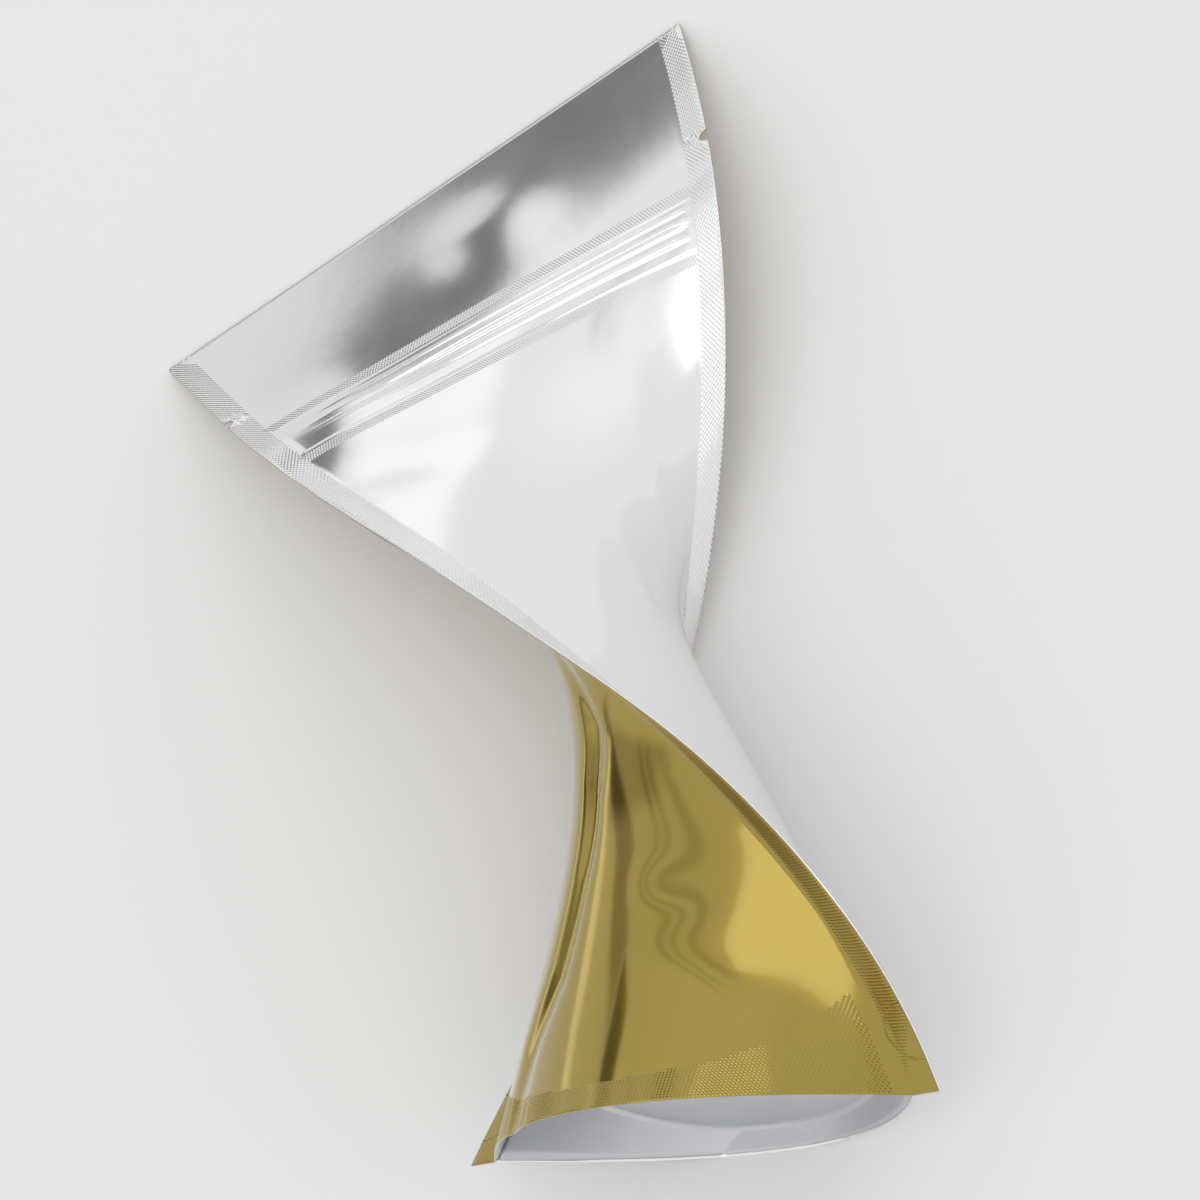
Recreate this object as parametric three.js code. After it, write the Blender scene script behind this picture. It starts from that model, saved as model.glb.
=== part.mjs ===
// A foil stand-up pouch with a press-to-close strip, empty and twisted half a turn, lying on a table.
// Millimetres, +Z up. The top edge points to +Y and the opened gusset to -Y. The silver front web faces up
// at the top edge and down at the bottom, where the gold back web faces up.
// Places on the pouch are given by along (0 at the top edge, 1 at the bottom edge)
// and across (-1 at the left side edge, 1 at the right side edge, seen from the silver web).
import * as THREE from "three";
import { mergeVertices } from "three/addons/utils/BufferGeometryUtils.js";

// The flat bag
const flatWidth = 107;
const flatLength = 210;
const sideSeal = 4.5; // width of the welded side edges
const edgeThickness = 0.8; // welded films at an edge, thicker than the real 0.3 so that the solid holds
const gussetWall = 1.3; // thickness left between the outside and the gusset's pocket

// The lie of the bag: its centre line, and how the line from side edge to side edge rolls along it
const topEnd = { x: -9.2, y: 76.5 };
const bottomEnd = { x: 18.3, y: -89.5 };
const centreBow = { x: 13.5, y: 2.5 }; // how far the centre line bows out half way
const heights = [0.4, 19, 26, 28.5, 25, 27.5, 30.5]; // of the centre line, at even steps along it
const rolls = [0, -2, -18, -63, -119, -142, -168]; // degrees about the length
const turns = { top: 19, bottom: -3.5, bow: 2 }; // degrees seen from above
const halfWidths = [flatWidth / 2, 46, 31.5, 22, 26.5, 40, 42.5]; // gathered at the neck
const bellyDepth = 32; // from the middle of the opened bottom to either web
const bellyGrowth = 2.1; // power by which the belly fills out along the length

// Details
const notch = { from: 26, halfWidth: 1.1, depth: 1.5 }; // tear notches, from the top edge
const zipBand = { from: 34.9, to: 48.2 }; // welded flange of the press-to-close strip
const zipRidges = { places: [39.6, 43.4], halfWidth: 1.5, height: 0.9 };
const gussetWeld = { middle: 6.5, side: 27, power: 4 }; // height of the gusset's weld over the bottom edge
const restingSpot = { from: 196, to: 208 }; // where the silver web is pressed flat by the table

// Mesh steps
const stepsAlong = 46;
const stepsAcross = 24; // an even number, so that a row of points runs down the middle
const stepsIntoPocket = 3;

const share = (millimetres) => millimetres / flatLength;
const radians = THREE.MathUtils.degToRad;
const bowed = (start, end, bow, along) => start + (end - start) * along + 4 * bow * along * (1 - along);

// A smooth curve near the given values, which stand at even steps from 0 to 1, and through the first and last.
function smooth(values, along) {
  const spans = values.length - 1;
  const span = THREE.MathUtils.clamp(Math.floor(along * spans), 0, spans - 1);
  const part = along * spans - span;
  const all = [2 * values[0] - values[1], ...values, 2 * values[spans] - values[spans - 1]];
  const weights = [
    (1 - part) ** 3,
    3 * part ** 3 - 6 * part ** 2 + 4,
    -3 * part ** 3 + 3 * part ** 2 + 3 * part + 1,
    part ** 3,
  ];
  return weights.reduce((sum, weight, k) => sum + weight * all[span + k], 0) / 6;
}

function centre(along) {
  return new THREE.Vector3(
    bowed(topEnd.x, bottomEnd.x, centreBow.x, along),
    bowed(topEnd.y, bottomEnd.y, centreBow.y, along),
    smooth(heights, along),
  );
}

// The direction from the left side edge to the right one.
function chord(along) {
  const roll = radians(smooth(rolls, along));
  const turn = radians(bowed(turns.top, turns.bottom, turns.bow, along));
  return new THREE.Vector3(Math.cos(roll) * Math.cos(turn), Math.cos(roll) * Math.sin(turn), Math.sin(roll));
}

// The direction from the middle of the bag out through the silver web.
function silverSide(along) {
  const step = 1e-3;
  const downwards = centre(along + step).sub(centre(along - step));
  return downwards.cross(chord(along)).normalize();
}

// The half-width of the bag, less the tear notches.
function halfWidth(along) {
  const off = Math.abs(along * flatLength - notch.from) / notch.halfWidth;
  return smooth(halfWidths, along) - notch.depth * Math.max(0, 1 - off);
}

// How far a web bulges from the middle of the bag, where place runs from -1 to 1 between the side seals.
function belly(along, place) {
  return bellyDepth * along ** bellyGrowth * (1 - place ** 2);
}

// The two ridges of the closed press-to-close strip, which fade out where the strip is crushed in the seals.
function zipRelief(along, place) {
  const fade = Math.min(1, (1 - Math.abs(place)) * 8);
  return zipRidges.places.reduce((sum, at) => {
    const off = Math.min(1, Math.abs(along * flatLength - at) / zipRidges.halfWidth);
    return sum + fade * zipRidges.height * 0.5 * (1 + Math.cos(Math.PI * off));
  }, 0);
}

// A point at a share of the bag's half-width, moved out from its middle surface, and never under the table.
function placed(along, across, out) {
  const point = centre(along)
    .addScaledVector(chord(along), across * halfWidth(along))
    .addScaledVector(silverSide(along), out);
  point.z = Math.max(point.z, 0);
  return point;
}

// The share of the half-width at a place between the side seals.
const acrossAt = (along, place) => place * (1 - sideSeal / smooth(halfWidths, along));

// A point on the outside: side is 1 on the silver web and -1 on the gold one.
function outside(along, place, side) {
  const out = edgeThickness / 2 + belly(along, place) + zipRelief(along, place);
  return placed(along, acrossAt(along, place), side * out);
}

const sideEdge = (along, end, side) => placed(along, end, (side * edgeThickness) / 2);

// A point on the pocket's wall, at a share of the way between the two webs.
function inPocket(along, place, between) {
  const room = (bellyDepth + edgeThickness / 2 - gussetWall) / bellyDepth;
  return placed(along, acrossAt(along, place), between * belly(along, place) * room);
}

// How far up the pouch the gusset is welded to the webs.
function weldAt(place) {
  const height = gussetWeld.middle + (gussetWeld.side - gussetWeld.middle) * Math.abs(place) ** gussetWeld.power;
  return 1 - share(height);
}

function evenly(count, from, to) {
  return Array.from({ length: count + 1 }, (_, i) => from + ((to - from) * i) / count);
}

// The rows along the bag: even ones, and finer ones at the notches, the strip and the resting spot.
function rows() {
  const notchRows = [-1, 0, 1].map((k) => notch.from + k * notch.halfWidth);
  const stripRows = zipRidges.places.flatMap((at) => evenly(4, at - zipRidges.halfWidth, at + zipRidges.halfWidth));
  const restRows = evenly(4, restingSpot.from, restingSpot.to);
  const fine = [...notchRows, zipBand.from, zipBand.to, ...stripRows, ...restRows].map(share);
  const clear = evenly(stepsAlong, 0, 1).filter((at) => fine.every((other) => Math.abs(other - at) > share(1)));
  return [...clear, ...fine].sort((a, b) => a - b);
}

const places = evenly(stepsAcross, -1, 1);

// The points round the bag at one row: across the silver web and back across the gold one.
function ring(along) {
  const silver = [sideEdge(along, -1, 1), ...places.map((place) => outside(along, place, 1)), sideEdge(along, 1, 1)];
  const gold = [sideEdge(along, -1, -1), ...places.map((place) => outside(along, place, -1)), sideEdge(along, 1, -1)];
  return [...silver, ...gold.reverse()];
}

// Collects triangles, and joins rows of points with pairs of them.
class Skin {
  corners = [];

  // A triangle with two corners in one place is left out.
  triangle(a, b, c) {
    const shortest = Math.min(a.distanceTo(b), b.distanceTo(c), c.distanceTo(a));
    if (shortest > 1e-4) this.corners.push(a, b, c);
  }

  quad(a, b, c, d) {
    this.triangle(a, b, c);
    this.triangle(a, c, d);
  }

  strip(first, second, closed = false) {
    const last = closed ? first.length : first.length - 1;
    for (let i = 0; i < last; i++) {
      const next = (i + 1) % first.length;
      this.quad(first[i], second[i], second[next], first[next]);
    }
  }

  geometry() {
    return mergeVertices(new THREE.BufferGeometry().setFromPoints(this.corners), 1e-4);
  }
}

function addWebs(skin) {
  const rings = rows().map(ring);
  rings.slice(1).forEach((next, i) => skin.strip(rings[i], next, true));
  const top = rings[0];
  const half = top.length / 2;
  skin.strip(top.slice(half).reverse(), top.slice(0, half));
}

// The bottom edge's rim: each web's cut edge, and the welded ends at the side seals.
function addRim(skin) {
  for (const side of [1, -1]) {
    const outer = places.map((place) => outside(1, place, side));
    const inner = places.map((place) => inPocket(1, place, side));
    if (side === 1) skin.strip(outer, inner);
    else skin.strip(inner, outer);
  }
  for (const end of [-1, 1]) {
    const crease = inPocket(1, end, 0);
    const loop = [outside(1, end, 1), sideEdge(1, end, 1), sideEdge(1, end, -1), outside(1, end, -1)];
    if (end === -1) loop.reverse();
    loop.slice(1).forEach((corner, i) => skin.triangle(crease, corner, loop[i]));
  }
}

// The gusset's pocket: its two walls, up to the weld, and the film stretched between them.
function addPocket(skin) {
  for (const side of [1, -1]) {
    const levels = evenly(stepsIntoPocket, 0, 1).map((level) =>
      places.map((place) => inPocket(1 + (weldAt(place) - 1) * level, place, side)),
    );
    levels.slice(1).forEach((next, i) => {
      if (side === 1) skin.strip(levels[i], next);
      else skin.strip(next, levels[i]);
    });
  }
  const floorLines = evenly(stepsAcross / 2, 1, -1).map((between) =>
    places.map((place) => inPocket(weldAt(place), place, between)),
  );
  floorLines.slice(1).forEach((next, i) => skin.strip(floorLines[i], next));
}

function pouch() {
  const skin = new Skin();
  addWebs(skin);
  addRim(skin);
  addPocket(skin);
  const foil = new THREE.MeshStandardMaterial({ color: 0xdfe0e0, metalness: 1, roughness: 0.22 });
  const mesh = new THREE.Mesh(skin.geometry(), foil);
  mesh.name = "pouch";
  return mesh;
}

const bag = new THREE.Group();
bag.add(pouch());

export default bag;
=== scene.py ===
"""An empty foil stand-up pouch, twisted half a turn, lying on a pale floor with its silver web up at the top.

The pouch is three films: a silver front web, a gold back web and a gusset film under them. A place on a web
is given in flat coordinates, as on the film before it was twisted: x across it, from the left side edge at
minus half the width to the right one, and y down it from the top edge. Lengths are in metres.
"""

import math

import bpy
import numpy as np
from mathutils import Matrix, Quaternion, Vector


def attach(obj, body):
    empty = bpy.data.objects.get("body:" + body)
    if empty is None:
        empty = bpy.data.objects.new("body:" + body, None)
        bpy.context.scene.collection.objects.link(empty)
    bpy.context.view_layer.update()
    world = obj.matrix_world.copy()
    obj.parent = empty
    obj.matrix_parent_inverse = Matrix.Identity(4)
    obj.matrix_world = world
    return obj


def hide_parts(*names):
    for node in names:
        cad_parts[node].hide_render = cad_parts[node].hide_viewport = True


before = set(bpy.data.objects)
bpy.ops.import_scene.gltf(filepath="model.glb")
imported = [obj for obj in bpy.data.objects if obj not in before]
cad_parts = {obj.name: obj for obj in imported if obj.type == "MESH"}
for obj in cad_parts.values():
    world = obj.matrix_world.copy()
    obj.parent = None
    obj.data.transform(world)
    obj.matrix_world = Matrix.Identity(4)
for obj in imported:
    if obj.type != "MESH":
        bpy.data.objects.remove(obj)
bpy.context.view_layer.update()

bl_info = {
    "name": "Twisted foil pouch",
    "version": (1, 0, 0),
    "blender": (4, 5, 0),
    "location": "3D View > Sidebar > Pouch",
    "description": "An empty foil stand-up pouch with its welds, zip and gusset, twisted half a turn",
    "category": "Add Mesh",
}

MM = 0.001
SILVER, GOLD = 1, -1  # the two sides of the pouch's middle surface
FLAT_UV = "flat"

# The flat pouch
WIDTH = 107 * MM
LENGTH = 210 * MM
SIDE_SEAL = 4.5 * MM
CLEAR = WIDTH / 2 - SIDE_SEAL  # half the width between the side seals
FILM = 0.2 * MM  # thickness of each web
FILM_GAP = 0.01 * MM  # between each web and the pouch's middle surface where they are welded

# The lie of the pouch: its middle line, and how the line from side edge to side edge rolls along it
TOP_END = (-9.2 * MM, 76.5 * MM)
BOTTOM_END = (18.3 * MM, -89.5 * MM)
MIDDLE_BOW = (13.5 * MM, 2.5 * MM)
HEIGHTS = [h * MM for h in (0.4, 19, 26, 28.5, 25, 27.5, 30.5)]
ROLLS = [math.radians(a) for a in (0, -2, -18, -63, -119, -142, -168)]
TURN_TOP, TURN_BOTTOM, TURN_BOW = (math.radians(a) for a in (19, -3.5, 2))
HALF_WIDTHS = [w * MM for w in (53.5, 46, 31.5, 22, 26.5, 40, 42.5)]
BELLY_DEPTH = 32 * MM  # how far each web stands off the middle surface at the bottom edge
BELLY_GROWTH = 2.1
TABLE_GAP = 0.15 * MM  # left under the films for the relief of their welds

# Details on the flat film
NOTCH_AT, NOTCH_HALF, NOTCH_DEPTH = 26 * MM, 1.1 * MM, 1.5 * MM
ZIP_BANDS = (34.7 * MM, 47.8 * MM)  # middles of the two welded bands that hold the zip
ZIP_BAND_WIDTH = 2.1 * MM
ZIP_FLANGE = (36.1 * MM, 46.4 * MM)  # top and bottom edge of the zip's flange
FLANGE_EDGE = 0.5 * MM  # width of the slope along those edges
FLANGE_SHARE = 0.15  # of the zip's height
WELD_REACH = 46.5 * MM  # how far the gusset's weld reaches from the middle
WELD_GAP = 0.4 * MM  # from the bottom edge to the gusset's weld
GUSSET_REACH = 48.6 * MM  # how far the gusset film reaches from the middle
GUSSET_LIFT = -0.35 * MM  # keeps the gusset film inside the webs, also where they are steep
SPOT_AT = 200 * MM  # middle of the round spot weld on a side edge
OVERHANG_GOLD, OVERHANG_SILVER = 0.12 * MM, 0.2 * MM  # of one web past the other on the left edge

# The camera
CAMERA_AIM = Vector((10.3, 1.0, 4.7)) * MM
CAMERA_PLACE = Vector((245.5, -143.3, 755.5)) * MM
CAMERA_ROLL = math.radians(-70.74)
CAMERA_LENS = 145.4


# --- The shape of the twisted pouch ---------------------------------------------------------------------


def spline(values, along):
    """A smooth curve from 0 to 1 near evenly spaced values, which goes through the first and the last one."""
    spans = len(values) - 1
    every = np.array([2 * values[0] - values[1], *values, 2 * values[-1] - values[-2]])
    span = np.clip(np.floor(along * spans), 0, spans - 1).astype(int)
    part = along * spans - span
    weights = (
        (1 - part) ** 3,
        3 * part**3 - 6 * part**2 + 4,
        -3 * part**3 + 3 * part**2 + 3 * part + 1,
        part**3,
    )
    return sum(weight * every[span + k] for k, weight in enumerate(weights)) / 6


def bowed(start, end, bow, along):
    return start + (end - start) * along + 4 * bow * along * (1 - along)


def unit(vectors):
    return vectors / np.linalg.norm(vectors, axis=-1, keepdims=True)


def middle(along):
    """The middle line of the pouch."""
    plan = [bowed(TOP_END[i], BOTTOM_END[i], MIDDLE_BOW[i], along) for i in (0, 1)]
    return np.stack([*plan, spline(HEIGHTS, along)], -1)


def chord(along):
    """The direction from the left side edge to the right one."""
    roll = spline(ROLLS, along)
    turn = bowed(TURN_TOP, TURN_BOTTOM, TURN_BOW, along)
    return np.stack([np.cos(roll) * np.cos(turn), np.cos(roll) * np.sin(turn), np.sin(roll)], -1)


def silver_way(along):
    """The direction from the middle of the pouch out through the silver web."""
    step = 1e-3
    return unit(np.cross(middle(along + step) - middle(along - step), chord(along)))


def bump(distance, half_width):
    """A smooth hill, 1 in the middle and 0 beyond half_width."""
    return 0.5 * (1 + np.cos(np.pi * np.clip(distance / half_width, -1, 1)))


def rise(value, start, end):
    """0 before start and 1 after end, smoothly between them."""
    part = np.clip((value - start) / (end - start), 0, 1)
    return part * part * (3 - 2 * part)


def belly(along, place):
    return BELLY_DEPTH * np.clip(along, 0, 1) ** BELLY_GROWTH * (1 - place**2)


# Ridges of the closed zip: middle down the film and half the width (mm), and share of the zip's height.
ZIP_RIDGES = ((38, 0.5, 0.3), (40.2, 0.8, 0.6), (41.5, 0.4, -0.2), (43.2, 0.9, 0.3))


def zip_relief(x, y, height):
    """The closed zip under the film: its flange, and ridges that are crushed flat towards the side seals."""
    top, bottom = ZIP_FLANGE
    flange = rise(y, top, top + FLANGE_EDGE) - rise(y, bottom - FLANGE_EDGE, bottom)
    tall = sum(share * bump(y - at * MM, half * MM) for at, half, share in ZIP_RIDGES)
    fade = rise(CLEAR - x, 0, 6 * MM) * rise(CLEAR + x, 2 * MM, 50 * MM)
    return height * (FLANGE_SHARE * flange * rise(CLEAR - np.abs(x), 0, 1 * MM) + fade * tall)


# Soft dents and hills in the film: where they are on the flat film (mm), their half sizes along and across
# their own length (mm), the turn of that length from the x axis (degrees) and their height (mm). SILVER_HILLS
# shape both webs alike, and GOLD_HILLS the gold web alone.
SILVER_HILLS = (
    (8, 20, 12, 10, 0, 0.8),
    (-42, 44, 16, 10, 0, 1),
    (-30, 60, 18, 8, 15, -0.6),
    (30, 72, 20, 4, 85, 0.25),
    (2, 104, 16, 4, 130, 0.3),
)
GOLD_HILLS = (
    (-28, 171, 7, 6, 15, -0.7),
    (-27, 185, 12, 9, 90, -1.3),
)
# The long fold in the gold web: half its width, and the places it runs through with its height there (mm).
GOLD_FOLD_HALF = 3
GOLD_FOLD = (
    (-44, 112, 0),
    (-30, 132, -1.4),
    (-17, 143, -1.6),
    (-4, 162, -1.6),
    (6, 181, -1.7),
    (18, 194, -1.8),
    (28, 214, -0.8),
)


def hills(x, y, rows):
    """The height of the film's soft dents and hills at flat coordinates."""
    height = np.zeros(np.broadcast(x, y).shape)
    for at_x, at_y, long, short, turn, tall in rows:
        c, s = math.cos(math.radians(turn)), math.sin(math.radians(turn))
        along = ((x - at_x * MM) * c + (y - at_y * MM) * s) / (long * MM)
        beside = ((y - at_y * MM) * c - (x - at_x * MM) * s) / (short * MM)
        height += tall * MM * np.exp(-along**2 - beside**2)
    return height


def fold(x, y, path, half_width):
    """The height of a narrow fold along a path at flat coordinates."""
    height = np.zeros(np.broadcast(x, y).shape)
    for (from_x, from_y, start), (to_x, to_y, end) in zip(path, path[1:]):
        run_x, run_y = (to_x - from_x) * MM, (to_y - from_y) * MM
        past_x, past_y = x - from_x * MM, y - from_y * MM
        part = np.clip((past_x * run_x + past_y * run_y) / (run_x**2 + run_y**2), 0, 1)
        off = np.hypot(past_x - part * run_x, past_y - part * run_y) / (half_width * MM)
        tall = (start + (end - start) * part) * MM * np.exp(-(off**2))
        height = np.where(np.abs(tall) > np.abs(height), tall, height)
    return height


def overhang(x, along, side):
    """How far a web stands out past the other one: only on the left edge, gold at the top, silver below."""
    lower = rise(along, 0.3, 0.6)
    wide = OVERHANG_SILVER * lower if side == SILVER else OVERHANG_GOLD * (1 - lower)
    return np.where(x < 0, wide, 0)


def film_point(x, y, side, lift=0.0):
    """A point on a web at flat coordinates x and y, lifted off the middle surface and kept over the table."""
    along = y / LENGTH
    place = np.clip(x / CLEAR, -1, 1)
    half = spline(HALF_WIDTHS, along)
    bite = NOTCH_DEPTH * np.sqrt(np.clip(1 - ((y - NOTCH_AT) / NOTCH_HALF) ** 2, 0, 1))
    in_seal = np.clip(np.abs(x) - CLEAR, 0, SIDE_SEAL) / SIDE_SEAL
    seal = SIDE_SEAL - bite + overhang(x, along, side)
    across = place * (half - SIDE_SEAL) + np.sign(x) * in_seal * seal
    out = side * (lift + belly(along, place)) + hills(x, y, SILVER_HILLS)
    if side == GOLD:
        out = out - hills(x, y, GOLD_HILLS) - fold(x, y, GOLD_FOLD, GOLD_FOLD_HALF)
    point = middle(along) + across[..., None] * chord(along) + out[..., None] * silver_way(along)
    lowest = TABLE_GAP + np.maximum(FILM - lift, 0)
    point[..., 2] = np.maximum(point[..., 2], lowest)
    return point


def weld_height(x):
    """How far up from the bottom edge the gusset film is welded to the webs."""
    return 4.8 * MM + 12.7 * MM * np.abs(x / WELD_REACH) ** 3


# --- Meshes ---------------------------------------------------------------------------------------------


def grid_mesh(name, points, flat):
    """A mesh from a grid of points, with the flat coordinates as its UV map."""
    rows, columns = points.shape[:2]
    mesh = bpy.data.meshes.new(name)
    index = np.arange(rows * columns).reshape(rows, columns)
    corners = np.stack([index[:-1, :-1], index[:-1, 1:], index[1:, 1:], index[1:, :-1]], -1).reshape(-1, 4)
    mesh.from_pydata(points.reshape(-1, 3).tolist(), [], corners.tolist())
    layer = mesh.uv_layers.new(name=FLAT_UV)
    layer.data.foreach_set("uv", flat.reshape(-1, 2)[corners.ravel()].astype(np.float32).ravel())
    mesh.shade_smooth()
    return mesh


def add_object(name, mesh, material=None):
    piece = bpy.data.objects.new(name, mesh)
    bpy.context.scene.collection.objects.link(piece)
    if material is not None:
        mesh.materials.append(material)
    return piece


def settle(piece):
    """Turns a piece's modifiers into plain mesh."""
    graph = bpy.context.evaluated_depsgraph_get()
    mesh = bpy.data.meshes.new_from_object(piece.evaluated_get(graph), depsgraph=graph)
    piece.modifiers.clear()
    old = piece.data
    piece.data = mesh
    bpy.data.meshes.remove(old)
    mesh.name = piece.name
    return piece


def thicken(piece, thickness):
    """Gives an open face its wall, inwards."""
    wall = piece.modifiers.new("Wall", "SOLIDIFY")
    wall.thickness = thickness
    wall.offset = -1
    return settle(piece)


def flat_rows():
    """Rows down the film: even ones, finer ones at the notches and the zip, and the finest at its ridges."""
    coarse_step, fine_step, finest_step, least_step = 0.9 * MM, 0.25 * MM, 0.12 * MM, 0.3 * MM
    even = np.arange(0, LENGTH, coarse_step)
    notch = NOTCH_AT + NOTCH_HALF * np.sin(np.linspace(-np.pi / 2, np.pi / 2, 13))
    flange_top = np.arange(35.5 * MM, 38.4 * MM, fine_step)
    ridges = np.arange(38.4 * MM, 44.4 * MM, finest_step)
    flange_bottom = np.arange(44.5 * MM, 47 * MM, fine_step)
    fine = np.concatenate([notch, flange_top, ridges, flange_bottom])
    far = np.abs(even[:, None] - fine[None]).min(1) > least_step
    return np.sort(np.concatenate([even[far], fine, [LENGTH]]))


def flat_columns():
    """Columns across the film, with one on the line where each side seal starts."""
    seal = np.linspace(CLEAR, WIDTH / 2, 6)[1:]
    return np.concatenate([-seal[::-1], np.linspace(-CLEAR, CLEAR, 105), seal])


def web_surface(name, side, sizes):
    """The outer face of a web, as an open mesh with its faces pointing out."""
    x, y = np.meshgrid(flat_columns(), flat_rows())
    lift = sizes.film + FILM_GAP + zip_relief(x, y, sizes.zip_height)
    points = film_point(x, y, side, lift)
    flat = np.stack([x / WIDTH + 0.5, y / LENGTH], -1)
    if side == SILVER:
        points, flat = points[:, ::-1], flat[:, ::-1]
    return grid_mesh(name, points, flat)


def gusset_surface(name, sizes):
    """The gusset film's face that touches the webs: up the gold web, over to the silver one and down it."""
    x = np.linspace(-GUSSET_REACH, GUSSET_REACH, 163)
    welded = []
    for side in (GOLD, SILVER):
        levels = np.linspace(WELD_GAP, weld_height(x), 8)
        welded.append([film_point(x, LENGTH - level, side, GUSSET_LIFT) for level in levels])
    gold_line, silver_line = welded[0][-1], welded[1][-1]
    near_bottom, step = 0.97, 1e-3
    inwards = -unit(middle(near_bottom + step) - middle(near_bottom))
    between = []
    for part in np.linspace(0, 1, 30)[1:-1]:
        crease = 0.5 - abs(part - 0.5)
        sag = sizes.gusset_sag * (1 - (x / CLEAR) ** 2) * (math.sin(math.pi * part) + crease)
        between.append(gold_line + (silver_line - gold_line) * part + sag[:, None] * inwards)
    points = np.stack([*welded[0], *between, *welded[1][::-1]])
    down = np.linspace(0, 1, len(points))
    flat = np.stack(np.broadcast_arrays(x[None] / WIDTH + 0.5, down[:, None]), -1)
    return grid_mesh(name, points, flat)


# --- Geometry Nodes -------------------------------------------------------------------------------------


class NodeWriter:
    """Adds nodes to a tree, and wires their inputs to other nodes or sets them to plain values."""

    def __init__(self, tree):
        self.tree = tree

    def add(self, kind, wires=None, out=0, **settings):
        """Adds a node and returns one of its outputs."""
        node = self.tree.nodes.new(kind)
        for key, value in settings.items():
            setattr(node, key, value)
        for label, value in (wires or {}).items():
            self.wire(value, node.inputs[label])
        return node.outputs[out]

    def wire(self, value, socket):
        if isinstance(value, bpy.types.NodeSocket):
            self.tree.links.new(value, socket)
        else:
            socket.default_value = value

    def math(self, operation, a, b=0.0):
        return self.add("ShaderNodeMath", {0: a, 1: b}, operation=operation)

    def vector(self, x=0.0, y=0.0, z=0.0):
        return self.add("ShaderNodeCombineXYZ", {"X": x, "Y": y, "Z": z})

    def group(self, group, wires):
        return self.add("GeometryNodeGroup", wires, node_tree=group)


class GroupWriter(NodeWriter):
    """Writes a Geometry Nodes group with named inputs and one geometry output."""

    def __init__(self, name, inputs):
        super().__init__(bpy.data.node_groups.new(name, "GeometryNodeTree"))
        for label, kind in inputs.items():
            self.tree.interface.new_socket(label, in_out="INPUT", socket_type="NodeSocket" + kind)
        self.tree.interface.new_socket("Geometry", in_out="OUTPUT", socket_type="NodeSocketGeometry")
        self.given = self.add("NodeGroupInput").node.outputs

    def finish(self, geometry):
        end = self.tree.nodes.new("NodeGroupOutput")
        self.tree.links.new(geometry, end.inputs[0])
        return self.tree


def shared_group(name, write):
    """A node group by name, written when it is first asked for."""
    return bpy.data.node_groups.get(name) or write(name)


def write_lay_on_film(name):
    """Wraps a flat pattern onto a web: x and y are flat coordinates, and z is the height over the film."""
    tree = GroupWriter(name, {"Pattern": "Geometry", "Film": "Geometry"})
    place = tree.add("ShaderNodeSeparateXYZ", {"Vector": tree.add("GeometryNodeInputPosition")}).node.outputs
    inset = 0.02 * MM
    spots = []
    for axis, low, high, scale, shift in (
        ("X", inset - WIDTH / 2, WIDTH / 2 - inset, WIDTH, 0.5),
        ("Y", inset, LENGTH - inset, LENGTH, 0.0),
    ):
        held = tree.add("ShaderNodeClamp", {"Value": place[axis], "Min": low, "Max": high})
        spots.append(tree.math("ADD", tree.math("DIVIDE", held, scale), shift))
    spot = tree.vector(*spots)
    chart = tree.add("GeometryNodeInputNamedAttribute", {"Name": FLAT_UV}, data_type="FLOAT_VECTOR")
    sampled = []
    for field in ("GeometryNodeInputPosition", "GeometryNodeInputNormal"):
        wires = {"Mesh": tree.given["Film"], "Value": tree.add(field), "UV Map": chart, "Sample UV": spot}
        sampled.append(tree.add("GeometryNodeSampleUVSurface", wires, data_type="FLOAT_VECTOR"))
    up = tree.add("ShaderNodeVectorMath", {0: sampled[1], "Scale": place["Z"]}, operation="SCALE")
    target = tree.add("ShaderNodeVectorMath", {0: sampled[0], 1: up}, operation="ADD")
    laid = tree.add("GeometryNodeSetPosition", {"Geometry": tree.given["Pattern"], "Position": target})
    return tree.finish(laid)


def finish_pattern(tree, pattern):
    """Makes a flat pattern real, lays it on the film and gives it its material."""
    real = tree.add("GeometryNodeRealizeInstances", {"Geometry": pattern})
    lay = shared_group("Lay on film", write_lay_on_film)
    laid = tree.group(lay, {"Pattern": real, "Film": tree.given["Film"]})
    sharp = tree.add("GeometryNodeSetShadeSmooth", {"Geometry": laid, "Shade Smooth": False})
    whole = tree.add("GeometryNodeRealizeInstances", {"Geometry": sharp})
    finished = tree.add("GeometryNodeSetMaterial", {"Geometry": whole, "Material": tree.given["Material"]})
    return tree.finish(finished)


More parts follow.
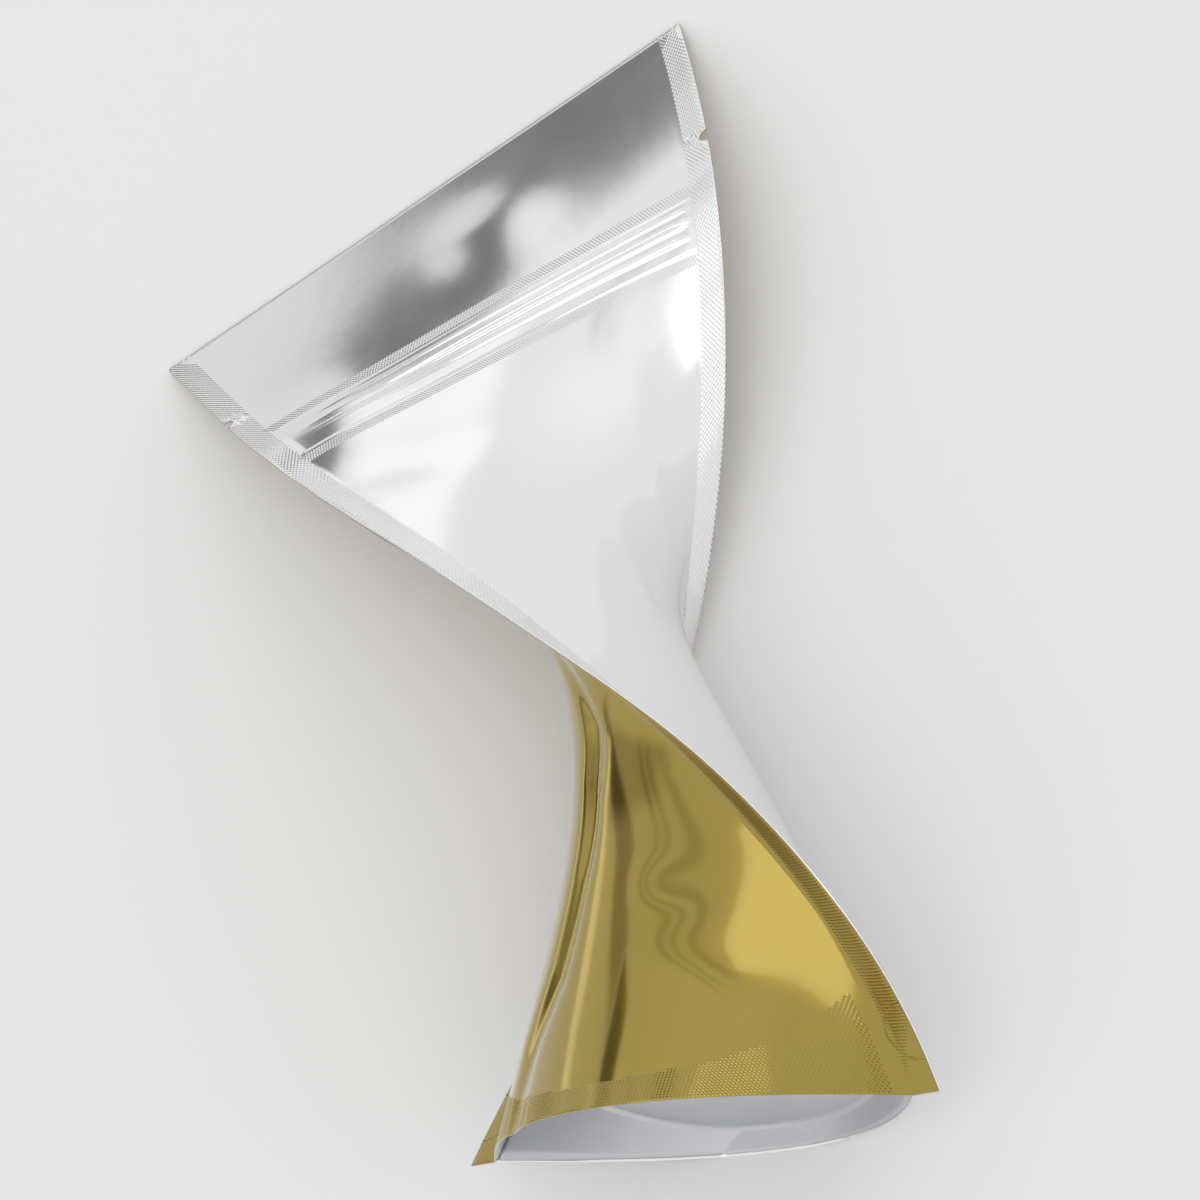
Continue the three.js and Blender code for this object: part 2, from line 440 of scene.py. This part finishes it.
def write_rib_row(name):
    """A flat row of slanting ribs, each with a ridge along its top. A rib has joints, so that it can bend."""
    numbers = ("Spacing", "Rib Length", "Rib Width", "Rib Height", "Slant")
    tree = GroupWriter(name, {"From": "Vector", "To": "Vector"} | {number: "Float" for number in numbers})
    given = tree.given
    row = tree.add(
        "GeometryNodeMeshLine",
        {"Resolution": given["Spacing"], "Start Location": given["From"], 3: given["To"]},
        mode="END_POINTS",
        count_mode="RESOLUTION",
    )
    half = tree.math("MULTIPLY", given["Rib Length"], 0.5)
    ends = {"Start": tree.vector(tree.math("MULTIPLY", half, -1.0)), "End": tree.vector(half)}
    line = tree.add("GeometryNodeCurvePrimitiveLine", ends)
    line = tree.add("GeometryNodeResampleCurve", {"Curve": line, "Count": 5})
    section = tree.add("GeometryNodeCurvePrimitiveCircle", {"Resolution": 4, "Radius": 1.0}, mode="RADIUS")
    bar = tree.add("GeometryNodeCurveToMesh", {"Curve": line, "Profile Curve": section, "Fill Caps": True})
    scale = tree.vector(1.0, tree.math("MULTIPLY", given["Rib Width"], 0.5), given["Rib Height"])
    rib = tree.add("GeometryNodeTransform", {"Geometry": bar, "Scale": scale})
    wires = {"Points": row, "Instance": rib, "Rotation": tree.vector(z=given["Slant"])}
    return tree.finish(tree.add("GeometryNodeInstanceOnPoints", wires))


def ribs_on_film(name, rows):
    """Rows of ribs laid on a web: the start and end of each, and its ribs' length, slant and height share."""
    numbers = ("Pitch", "Rib Width", "Rib Height")
    kinds = {"Film": "Geometry"} | {number: "Float" for number in numbers} | {"Material": "Material"}
    tree = GroupWriter(name, kinds)
    join = tree.add("GeometryNodeJoinGeometry").node
    for start, end, length, slant, share in rows:
        down = abs(end[1] - start[1]) > abs(end[0] - start[0])
        spread = abs(math.cos(slant) if down else math.sin(slant))
        wires = {
            "From": (*start, 0),
            "To": (*end, 0),
            "Spacing": tree.math("DIVIDE", tree.given["Pitch"], spread),
            "Rib Length": length,
            "Rib Width": tree.given["Rib Width"],
            "Rib Height": tree.math("MULTIPLY", tree.given["Rib Height"], share),
            "Slant": slant,
        }
        tree.wire(tree.group(shared_group("Rib row", write_rib_row), wires), join.inputs[0])
    return finish_pattern(tree, join.outputs[0])


def write_weld_dots(name):
    """Staggered pointed dots over the gusset's weld, which rises towards the sides."""
    numbers = ("Reach", "Middle Height", "Side Rise", "Across", "Down", "Dot Height")
    kinds = {"Film": "Geometry"} | {number: "Float" for number in numbers} | {"Material": "Material"}
    tree = GroupWriter(name, kinds)
    given = tree.given
    tallest = tree.math("ADD", given["Middle Height"], given["Side Rise"])
    wide = tree.math("MULTIPLY", given["Reach"], 2.0)
    columns = tree.math("CEIL", tree.math("DIVIDE", wide, given["Across"]))
    rows = tree.math("CEIL", tree.math("DIVIDE", tallest, given["Down"]))
    sheet = {
        "Size X": tree.math("MULTIPLY", columns, given["Across"]),
        "Size Y": tree.math("MULTIPLY", rows, given["Down"]),
        "Vertices X": tree.math("ADD", columns, 1.0),
        "Vertices Y": tree.math("ADD", rows, 1.0),
    }
    grid = tree.add("GeometryNodeMeshGrid", sheet)
    row = tree.math("MODULO", tree.add("GeometryNodeInputIndex"), sheet["Vertices Y"])
    odd = tree.math("MODULO", row, 2.0)
    sheet_middle = tree.math("SUBTRACT", LENGTH - WELD_GAP, tree.math("MULTIPLY", sheet["Size Y"], 0.5))
    stagger = tree.math("MULTIPLY", tree.math("MULTIPLY", odd, 0.5), given["Across"])
    shift = tree.vector(stagger, sheet_middle)
    grid = tree.add("GeometryNodeSetPosition", {"Geometry": grid, "Offset": shift})
    place = tree.add("ShaderNodeSeparateXYZ", {"Vector": tree.add("GeometryNodeInputPosition")}).node.outputs
    off = tree.math("DIVIDE", tree.math("ABSOLUTE", place["X"]), given["Reach"])
    rising = tree.math("MULTIPLY", given["Side Rise"], tree.math("POWER", off, 3.0))
    top = tree.math("SUBTRACT", LENGTH, tree.math("ADD", given["Middle Height"], rising))
    above = tree.math("LESS_THAN", place["Y"], top)
    beside = tree.math("GREATER_THAN", off, 1.0)
    outside = {"Geometry": grid, "Selection": tree.math("ADD", above, beside)}
    spots = tree.add("GeometryNodeDeleteGeometry", outside, domain="POINT")
    pyramid = {"Vertices": 4, "Radius Top": 0.0, "Radius Bottom": 1.0, "Depth": 1.0}
    dot = tree.add("GeometryNodeMeshCone", pyramid)
    half_across = tree.math("MULTIPLY", given["Across"], 0.5)
    half_down = tree.math("MULTIPLY", given["Down"], 0.9)  # staggered rows mesh with each other
    size = tree.vector(half_across, half_down, given["Dot Height"])
    dot = tree.add("GeometryNodeTransform", {"Geometry": dot, "Scale": size})
    dots = tree.add("GeometryNodeInstanceOnPoints", {"Points": spots, "Instance": dot})
    return finish_pattern(tree, dots)


def write_spot_weld(name):
    """The raised rim of a round spot weld that the film's left or right edge cuts in half."""
    kinds = {"Film": "Geometry", "Place": "Vector", "Start": "Float", "Radius": "Float", "Rim": "Float"}
    tree = GroupWriter(name, kinds | {"Material": "Material"})
    given = tree.given
    arc = {"Resolution": 40, "Radius": given["Radius"], "Start Angle": given["Start"], "Sweep Angle": math.pi}
    line = tree.add("GeometryNodeCurveArc", arc, mode="RADIUS")
    line = tree.add("GeometryNodeTransform", {"Geometry": line, "Translation": given["Place"]})
    round_rim = {"Resolution": 8, "Radius": given["Rim"]}
    section = tree.add("GeometryNodeCurvePrimitiveCircle", round_rim, mode="RADIUS")
    rim = tree.add("GeometryNodeCurveToMesh", {"Curve": line, "Profile Curve": section, "Fill Caps": True})
    return finish_pattern(tree, rim)


def run_nodes(piece, group, values):
    """Runs a Geometry Nodes group on a piece with the given inputs, and keeps the plain mesh."""
    modifier = piece.modifiers.new(group.name, "NODES")
    modifier.node_group = group
    names = {item.name: item.identifier for item in group.interface.items_tree if item.in_out == "INPUT"}
    for label, value in values.items():
        modifier[names[label]] = value
    return settle(piece)


# --- Materials ------------------------------------------------------------------------------------------

GLOSS_SPREAD = 0.25  # share by which a film's roughness varies
SMUDGE_SCALE, RIPPLE_SCALE = 90.0, 260.0
RIPPLE_DEPTH = 0.008 * MM
COAT_ROUGHNESS = 0.03


def film_material(name, colour, roughness, coat=0.0, coat_ior=1.5):
    """Metallised film: a little uneven in its gloss, and never quite flat."""
    material = bpy.data.materials.new(name)
    material.use_nodes = True
    tree = NodeWriter(material.node_tree)
    shader = material.node_tree.nodes["Principled BSDF"].inputs
    shader["Base Color"].default_value = (*colour, 1)
    shader["Metallic"].default_value = 1
    shader["Coat Weight"].default_value = coat
    shader["Coat Roughness"].default_value = COAT_ROUGHNESS
    shader["Coat IOR"].default_value = coat_ior
    where = tree.add("ShaderNodeTexCoord").node.outputs["Object"]
    smudges = tree.add("ShaderNodeTexNoise", {"Vector": where, "Scale": SMUDGE_SCALE, "Detail": 3.0})
    spread = roughness * GLOSS_SPREAD
    wires = {"Value": smudges, "To Min": roughness - spread, "To Max": roughness + spread}
    tree.wire(tree.add("ShaderNodeMapRange", wires), shader["Roughness"])
    ripple = tree.add("ShaderNodeTexNoise", {"Vector": where, "Scale": RIPPLE_SCALE, "Detail": 1.0})
    wires = {"Height": ripple, "Strength": 1.0, "Distance": RIPPLE_DEPTH}
    tree.wire(tree.add("ShaderNodeBump", wires), shader["Normal"])
    return material


def finish_for(slot):
    """The material for a slot of the record, made when it is first asked for."""
    colours = bpy.context.scene.pouch_colours
    name, *finish = {  # colour, roughness, coat weight and the coat's index of refraction
        "silver_film": ("bright silver", colours.silver, 0.14),
        "gold_film": ("clear gold", colours.gold, 0.14, 1.0, 1.7),
        "gusset_film": ("dull silver", colours.gusset, 0.5),
    }[slot]
    return bpy.data.materials.get(name) or film_material(name, *finish)


# Lights and gaps in the walls of the light tent: the azimuth of the middle and half the width, the lowest and
# highest elevation, the softness of the edges (all in degrees) and the change in brightness.
TENT_LIGHT = 0.88
TENT_PATCHES = (
    (118, 4, 0.8, 32, 1, -0.7),
    (158, 20, -3, 6, 2, 0.55),
    (104.5, 6.5, 8, 30, 2, 0.22),
    (60, 30, 35, 70, 15, 0.1),
    (168, 14, 6, 40, 5, -0.3),
)
CEILING_EDGES = (  # the ceiling panel lies on one side of each of these planes
    (-0.44, -0.822, 0.358),
    (0.297, -0.883, 0.361),
    (0.972, 0, 0.235),
    (0, 0.98, 0.2),
)
CEILING_SOFT = 0.015
CEILING_LIGHT = 0.75
# A narrow slanting gap in the wall: its plane, how far off the plane it starts to fade and has gone, and the
# stretch of wall it is on (azimuth, half width and softness in degrees).
GAP_PLANE = (0.044, -0.522, 0.852)
GAP_FULL, GAP_NONE = 0.06, 0.11
GAP_WALL = (161, 38, 3)
GAP_DARK = 0.45
# The hoops that hold the tent up: how near each is to the direction that they all lie round, half its width
# and how dark it is. They show on one stretch of wall.
HOOP_AXIS = (-0.185, -0.208, 0.96)
HOOP_WALL = (130, 50, 15)
HOOPS = ((0.615, 0.012, 0.3), (0.67, 0.012, 0.25), (0.76, 0.02, 0.25))


class TentWriter(NodeWriter):
    """Writes how bright the light tent is in each direction."""

    def __init__(self, tree):
        super().__init__(tree)
        self.way = self.add("ShaderNodeTexCoord").node.outputs["Generated"]
        x, y, self.up = self.add("ShaderNodeSeparateXYZ", {"Vector": self.way}).node.outputs
        self.level = self.add("ShaderNodeVectorMath", {0: self.vector(x, y)}, operation="NORMALIZE")

    def step(self, value, start, end):
        """0 before start and 1 after end, smoothly between them."""
        wires = {"Value": value, "From Min": start, "From Max": end}
        return self.add("ShaderNodeMapRange", wires, interpolation_type="SMOOTHSTEP")

    def along(self, way, direction):
        return self.add("ShaderNodeVectorMath", {0: way, 1: direction}, out="Value", operation="DOT_PRODUCT")

    def wall(self, azimuth, half_width, soft):
        """1 on a stretch of wall round an azimuth."""
        turn = math.radians(azimuth)
        facing = self.along(self.level, (math.cos(turn), math.sin(turn), 0))
        outer, inner = (math.cos(math.radians(max(half_width + k * soft, 0))) for k in (1, -1))
        return self.step(facing, outer, inner)

    def patch(self, azimuth, half_width, low, high, soft):
        """1 on a patch of wall."""
        edges = [math.sin(math.radians(e)) for e in (low - soft, low + soft, high + soft, high - soft)]
        rows = self.math("MULTIPLY", self.step(self.up, *edges[:2]), self.step(self.up, *edges[2:]))
        return self.math("MULTIPLY", self.wall(azimuth, half_width, soft), rows)

    def changed(self, light, mask, change):
        return self.add("ShaderNodeMath", {0: mask, 1: change, 2: light}, operation="MULTIPLY_ADD")


def studio_world():
    """A pale light tent with a ceiling panel, soft lights, dark gaps and hoops. Camera rays see it plain."""
    world = bpy.data.worlds.new("studio")
    world.use_nodes = True
    tree = TentWriter(world.node_tree)
    light = TENT_LIGHT
    for *place, change in TENT_PATCHES:
        light = tree.changed(light, tree.patch(*place), change)
    off_plane = tree.math("ABSOLUTE", tree.along(tree.way, GAP_PLANE))
    gap = tree.math("MULTIPLY", tree.step(off_plane, GAP_NONE, GAP_FULL), tree.wall(*GAP_WALL))
    light = tree.changed(light, gap, -GAP_DARK)
    over = 1.0
    for edge in CEILING_EDGES:
        inside = tree.step(tree.along(tree.way, edge), -CEILING_SOFT, CEILING_SOFT)
        over = tree.math("MULTIPLY", over, inside)
    light = tree.changed(light, over, CEILING_LIGHT)
    near_axis = tree.along(tree.way, HOOP_AXIS)
    hooped = tree.wall(*HOOP_WALL)
    for near, half_width, dark in HOOPS:
        off_hoop = tree.math("ABSOLUTE", tree.math("SUBTRACT", near_axis, near))
        hoop = tree.math("MULTIPLY", tree.step(off_hoop, 1.8 * half_width, 0.6 * half_width), hooped)
        light = tree.changed(light, hoop, -dark)
    seen = tree.add("ShaderNodeLightPath").node.outputs["Is Camera Ray"]
    shown = tree.add("ShaderNodeMix", {"Factor": seen, "A": light, "B": TENT_LIGHT})
    background = world.node_tree.nodes["Background"].inputs
    background["Color"].default_value = (1, 1, 1, 1)
    tree.wire(shown, background["Strength"])
    return world


def floor_material(colour):
    material = bpy.data.materials.new("floor")
    material.use_nodes = True
    shader = material.node_tree.nodes["Principled BSDF"].inputs
    shader["Base Color"].default_value = (*colour, 1)
    shader["Roughness"].default_value = 0.9
    shader["Specular IOR Level"].default_value = 0.2
    return material


# --- Operators ------------------------------------------------------------------------------------------

# The ribs of the welds: on silver film they slant steeply, and fainter ones cross them
SILVER_SLANT, GOLD_SLANT = math.radians(54), math.radians(-10)
CROSSING_SHARE, GOLD_SHARE = 0.45, 0.4  # of the ribs' full height
RIB_SPAN = 0.94  # share of the side seal's width that the ribs take
SILVER_ENDS, GOLD_ENDS = 1.2 * MM, 0.6 * MM  # left bare at the ends of the side seals


def length_property(name, description, default):
    return bpy.props.FloatProperty(name=name, description=description, default=default, min=0, unit="LENGTH")


def colour_property(name, description, default):
    return bpy.props.FloatVectorProperty(
        name=name, description=description, default=default, size=3, min=0, max=1, subtype="COLOR"
    )


class PouchSizes(bpy.types.PropertyGroup):
    film: length_property("Film", "Thickness of each web", FILM)
    zip_height: length_property("Zip height", "Height of the closed zip over the film", 0.9 * MM)
    rib_pitch: length_property("Rib pitch", "From one rib of a weld to the next", 0.55 * MM)
    rib_width: length_property("Rib width", "Width of each rib of a weld", 0.36 * MM)
    rib_height: length_property("Rib height", "Height of a weld's ribs over the film", 0.08 * MM)
    dots_across: length_property("Dots across", "From one dot of the gusset's weld to the next", 0.62 * MM)
    dots_down: length_property("Dots down", "From one row of dots to the next", 0.5 * MM)
    dot_height: length_property("Dot height", "Height of the dots over the film", 0.1 * MM)
    spot_radius: length_property("Spot radius", "Radius of the round spot welds", 4.8 * MM)
    spot_rim: length_property("Spot rim", "Half the thickness of a spot weld's rim", 0.14 * MM)
    gusset_film: length_property("Gusset film", "Thickness of the gusset film", 0.12 * MM)
    gusset_sag: length_property("Gusset sag", "How far the open gusset bows into the pouch", 2.5 * MM)


class PouchColours(bpy.types.PropertyGroup):
    silver: colour_property("Silver", "The front web", (0.86, 0.863, 0.868))
    gold: colour_property("Gold", "The back web", (0.345, 0.243, 0.006))
    gusset: colour_property("Gusset", "The gusset film", (0.62, 0.625, 0.64))
    floor: colour_property("Floor", "The floor under the pouch", (0.85, 0.85, 0.85))


def carry(piece):
    """Every piece moves with the one body."""
    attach(piece, "root")
    return piece


def lay_pattern(name, side, slot, group, values):
    """Makes a piece that is a pattern laid on a web."""
    sizes = bpy.context.scene.pouch_sizes
    piece = add_object(name, web_surface(name, side, sizes))
    run_nodes(piece, group, values | {"Material": finish_for(slot)})
    return carry(piece)


class POUCH_OT_silver_web(bpy.types.Operator):
    """Makes the silver front web"""

    bl_idname = "pouch.silver_web"
    bl_label = "Silver web"

    def execute(self, context):
        sizes = context.scene.pouch_sizes
        piece = add_object("silver_web", web_surface("silver_web", SILVER, sizes), finish_for("silver_film"))
        thicken(piece, sizes.film)
        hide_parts("pouch")
        carry(piece)
        return {"FINISHED"}


class POUCH_OT_gold_web(bpy.types.Operator):
    """Makes the gold back web"""

    bl_idname = "pouch.gold_web"
    bl_label = "Gold web"

    def execute(self, context):
        sizes = context.scene.pouch_sizes
        piece = add_object("gold_web", web_surface("gold_web", GOLD, sizes), finish_for("gold_film"))
        thicken(piece, sizes.film)
        carry(piece)
        return {"FINISHED"}


class POUCH_OT_gusset_web(bpy.types.Operator):
    """Makes the gusset film, open under the pouch"""

    bl_idname = "pouch.gusset_web"
    bl_label = "Gusset web"

    def execute(self, context):
        sizes = context.scene.pouch_sizes
        piece = add_object("gusset_web", gusset_surface("gusset_web", sizes), finish_for("gusset_film"))
        thicken(piece, sizes.gusset_film)
        carry(piece)
        return {"FINISHED"}


class POUCH_OT_weld_ribs(bpy.types.Operator):
    """Makes the ribs of the side seals and of the zip's two welded bands"""

    bl_idname = "pouch.weld_ribs"
    bl_label = "Weld ribs"

    def execute(self, context):
        sizes = context.scene.pouch_sizes
        crossed = ((SILVER_SLANT, 1.0), (-SILVER_SLANT, CROSSING_SHARE))
        seal_middle = (CLEAR + WIDTH / 2) / 2
        span = RIB_SPAN * SIDE_SEAL
        silver_rows, gold_rows, zip_rows = [], [], []
        for x in (-seal_middle, seal_middle):
            for slant, share in crossed:
                start, end = (x, SILVER_ENDS), (x, LENGTH - SILVER_ENDS)
                silver_rows.append((start, end, span / math.cos(slant), slant, share))
            gold_rows.append(((x, GOLD_ENDS), (x, LENGTH - GOLD_ENDS), span, GOLD_SLANT, GOLD_SHARE))
        for y in ZIP_BANDS:
            for slant, share in crossed:
                length = ZIP_BAND_WIDTH / math.sin(abs(slant))
                zip_rows.append(((-CLEAR, y), (CLEAR, y), length, slant, share))
        for name, side, slot, rows in (
            ("silver_seal_ribs", SILVER, "silver_film", silver_rows),
            ("gold_seal_ribs", GOLD, "gold_film", gold_rows),
            ("zip_band_ribs", SILVER, "silver_film", zip_rows),
        ):
            values = {"Pitch": sizes.rib_pitch, "Rib Width": sizes.rib_width, "Rib Height": sizes.rib_height}
            lay_pattern(name, side, slot, ribs_on_film(name, rows), values)
        return {"FINISHED"}


class POUCH_OT_weld_dots(bpy.types.Operator):
    """Makes the dotted weld of the gusset on both webs"""

    bl_idname = "pouch.weld_dots"
    bl_label = "Weld dots"

    def execute(self, context):
        sizes = context.scene.pouch_sizes
        middle_height = float(weld_height(0))
        values = {
            "Reach": WELD_REACH,
            "Middle Height": middle_height,
            "Side Rise": float(weld_height(WELD_REACH)) - middle_height,
            "Across": sizes.dots_across,
            "Down": sizes.dots_down,
            "Dot Height": sizes.dot_height,
        }
        group = shared_group("Weld dots", write_weld_dots)
        lay_pattern("silver_weld_dots", SILVER, "silver_film", group, values)
        lay_pattern("gold_weld_dots", GOLD, "gold_film", group, values)
        return {"FINISHED"}


class POUCH_OT_spot_welds(bpy.types.Operator):
    """Makes the rims of the round spot welds on the side edges near the bottom"""

    bl_idname = "pouch.spot_welds"
    bl_label = "Spot welds"

    def execute(self, context):
        sizes = context.scene.pouch_sizes
        group = shared_group("Spot weld", write_spot_weld)
        for side, web in ((SILVER, "silver"), (GOLD, "gold")):
            for edge, end, start in (("left", -1, -math.pi / 2), ("right", 1, math.pi / 2)):
                values = {
                    "Place": (end * WIDTH / 2, SPOT_AT, 0),
                    "Start": start,
                    "Radius": sizes.spot_radius,
                    "Rim": sizes.spot_rim,
                }
                lay_pattern(f"{web}_spot_weld_{edge}", side, f"{web}_film", group, values)
        return {"FINISHED"}


class POUCH_OT_stage(bpy.types.Operator):
    """Makes the floor, the light tent and the camera"""

    bl_idname = "pouch.stage"
    bl_label = "Stage"

    def execute(self, context):
        scene = context.scene
        half = 3.0  # of the floor's side
        mesh = bpy.data.meshes.new("floor")
        corners = [(-half, -half, 0), (half, -half, 0), (half, half, 0), (-half, half, 0)]
        mesh.from_pydata(corners, [], [(0, 1, 2, 3)])
        add_object("floor", mesh, floor_material(scene.pouch_colours.floor))
        scene.world = studio_world()
        camera = bpy.data.cameras.new("camera")
        camera.lens = CAMERA_LENS
        camera.sensor_width = 36
        eye = bpy.data.objects.new("camera", camera)
        eye.location = CAMERA_PLACE
        eye.rotation_mode = "QUATERNION"
        facing = (CAMERA_AIM - CAMERA_PLACE).to_track_quat("-Z", "Y")
        eye.rotation_quaternion = facing @ Quaternion((0, 0, 1), CAMERA_ROLL)
        scene.collection.objects.link(eye)
        scene.camera = eye
        scene.view_settings.view_transform = "Standard"
        return {"FINISHED"}


MAKERS = (
    POUCH_OT_silver_web,
    POUCH_OT_gold_web,
    POUCH_OT_gusset_web,
    POUCH_OT_weld_ribs,
    POUCH_OT_weld_dots,
    POUCH_OT_spot_welds,
    POUCH_OT_stage,
)


class POUCH_PT_panel(bpy.types.Panel):
    """Lists the pouch's sizes, colours and pieces"""

    bl_label = "Pouch"
    bl_idname = "POUCH_PT_panel"
    bl_space_type = "VIEW_3D"
    bl_region_type = "UI"
    bl_category = "Pouch"

    def draw(self, context):
        for group in (context.scene.pouch_sizes, context.scene.pouch_colours):
            for name in group.bl_rna.properties.keys():
                if name not in ("rna_type", "name"):
                    self.layout.prop(group, name)
        for maker in MAKERS:
            self.layout.operator(maker.bl_idname)


CLASSES = (PouchSizes, PouchColours, *MAKERS, POUCH_PT_panel)


def register():
    for item in CLASSES:
        bpy.utils.register_class(item)
    bpy.types.Scene.pouch_sizes = bpy.props.PointerProperty(type=PouchSizes)
    bpy.types.Scene.pouch_colours = bpy.props.PointerProperty(type=PouchColours)


def unregister():
    del bpy.types.Scene.pouch_colours
    del bpy.types.Scene.pouch_sizes
    for item in reversed(CLASSES):
        bpy.utils.unregister_class(item)


def main():
    register()
    bpy.ops.pouch.silver_web()
    bpy.ops.pouch.gold_web()
    bpy.ops.pouch.gusset_web()
    bpy.ops.pouch.weld_ribs()
    bpy.ops.pouch.weld_dots()
    bpy.ops.pouch.spot_welds()
    bpy.ops.pouch.stage()


if __name__ == "__main__":
    main()
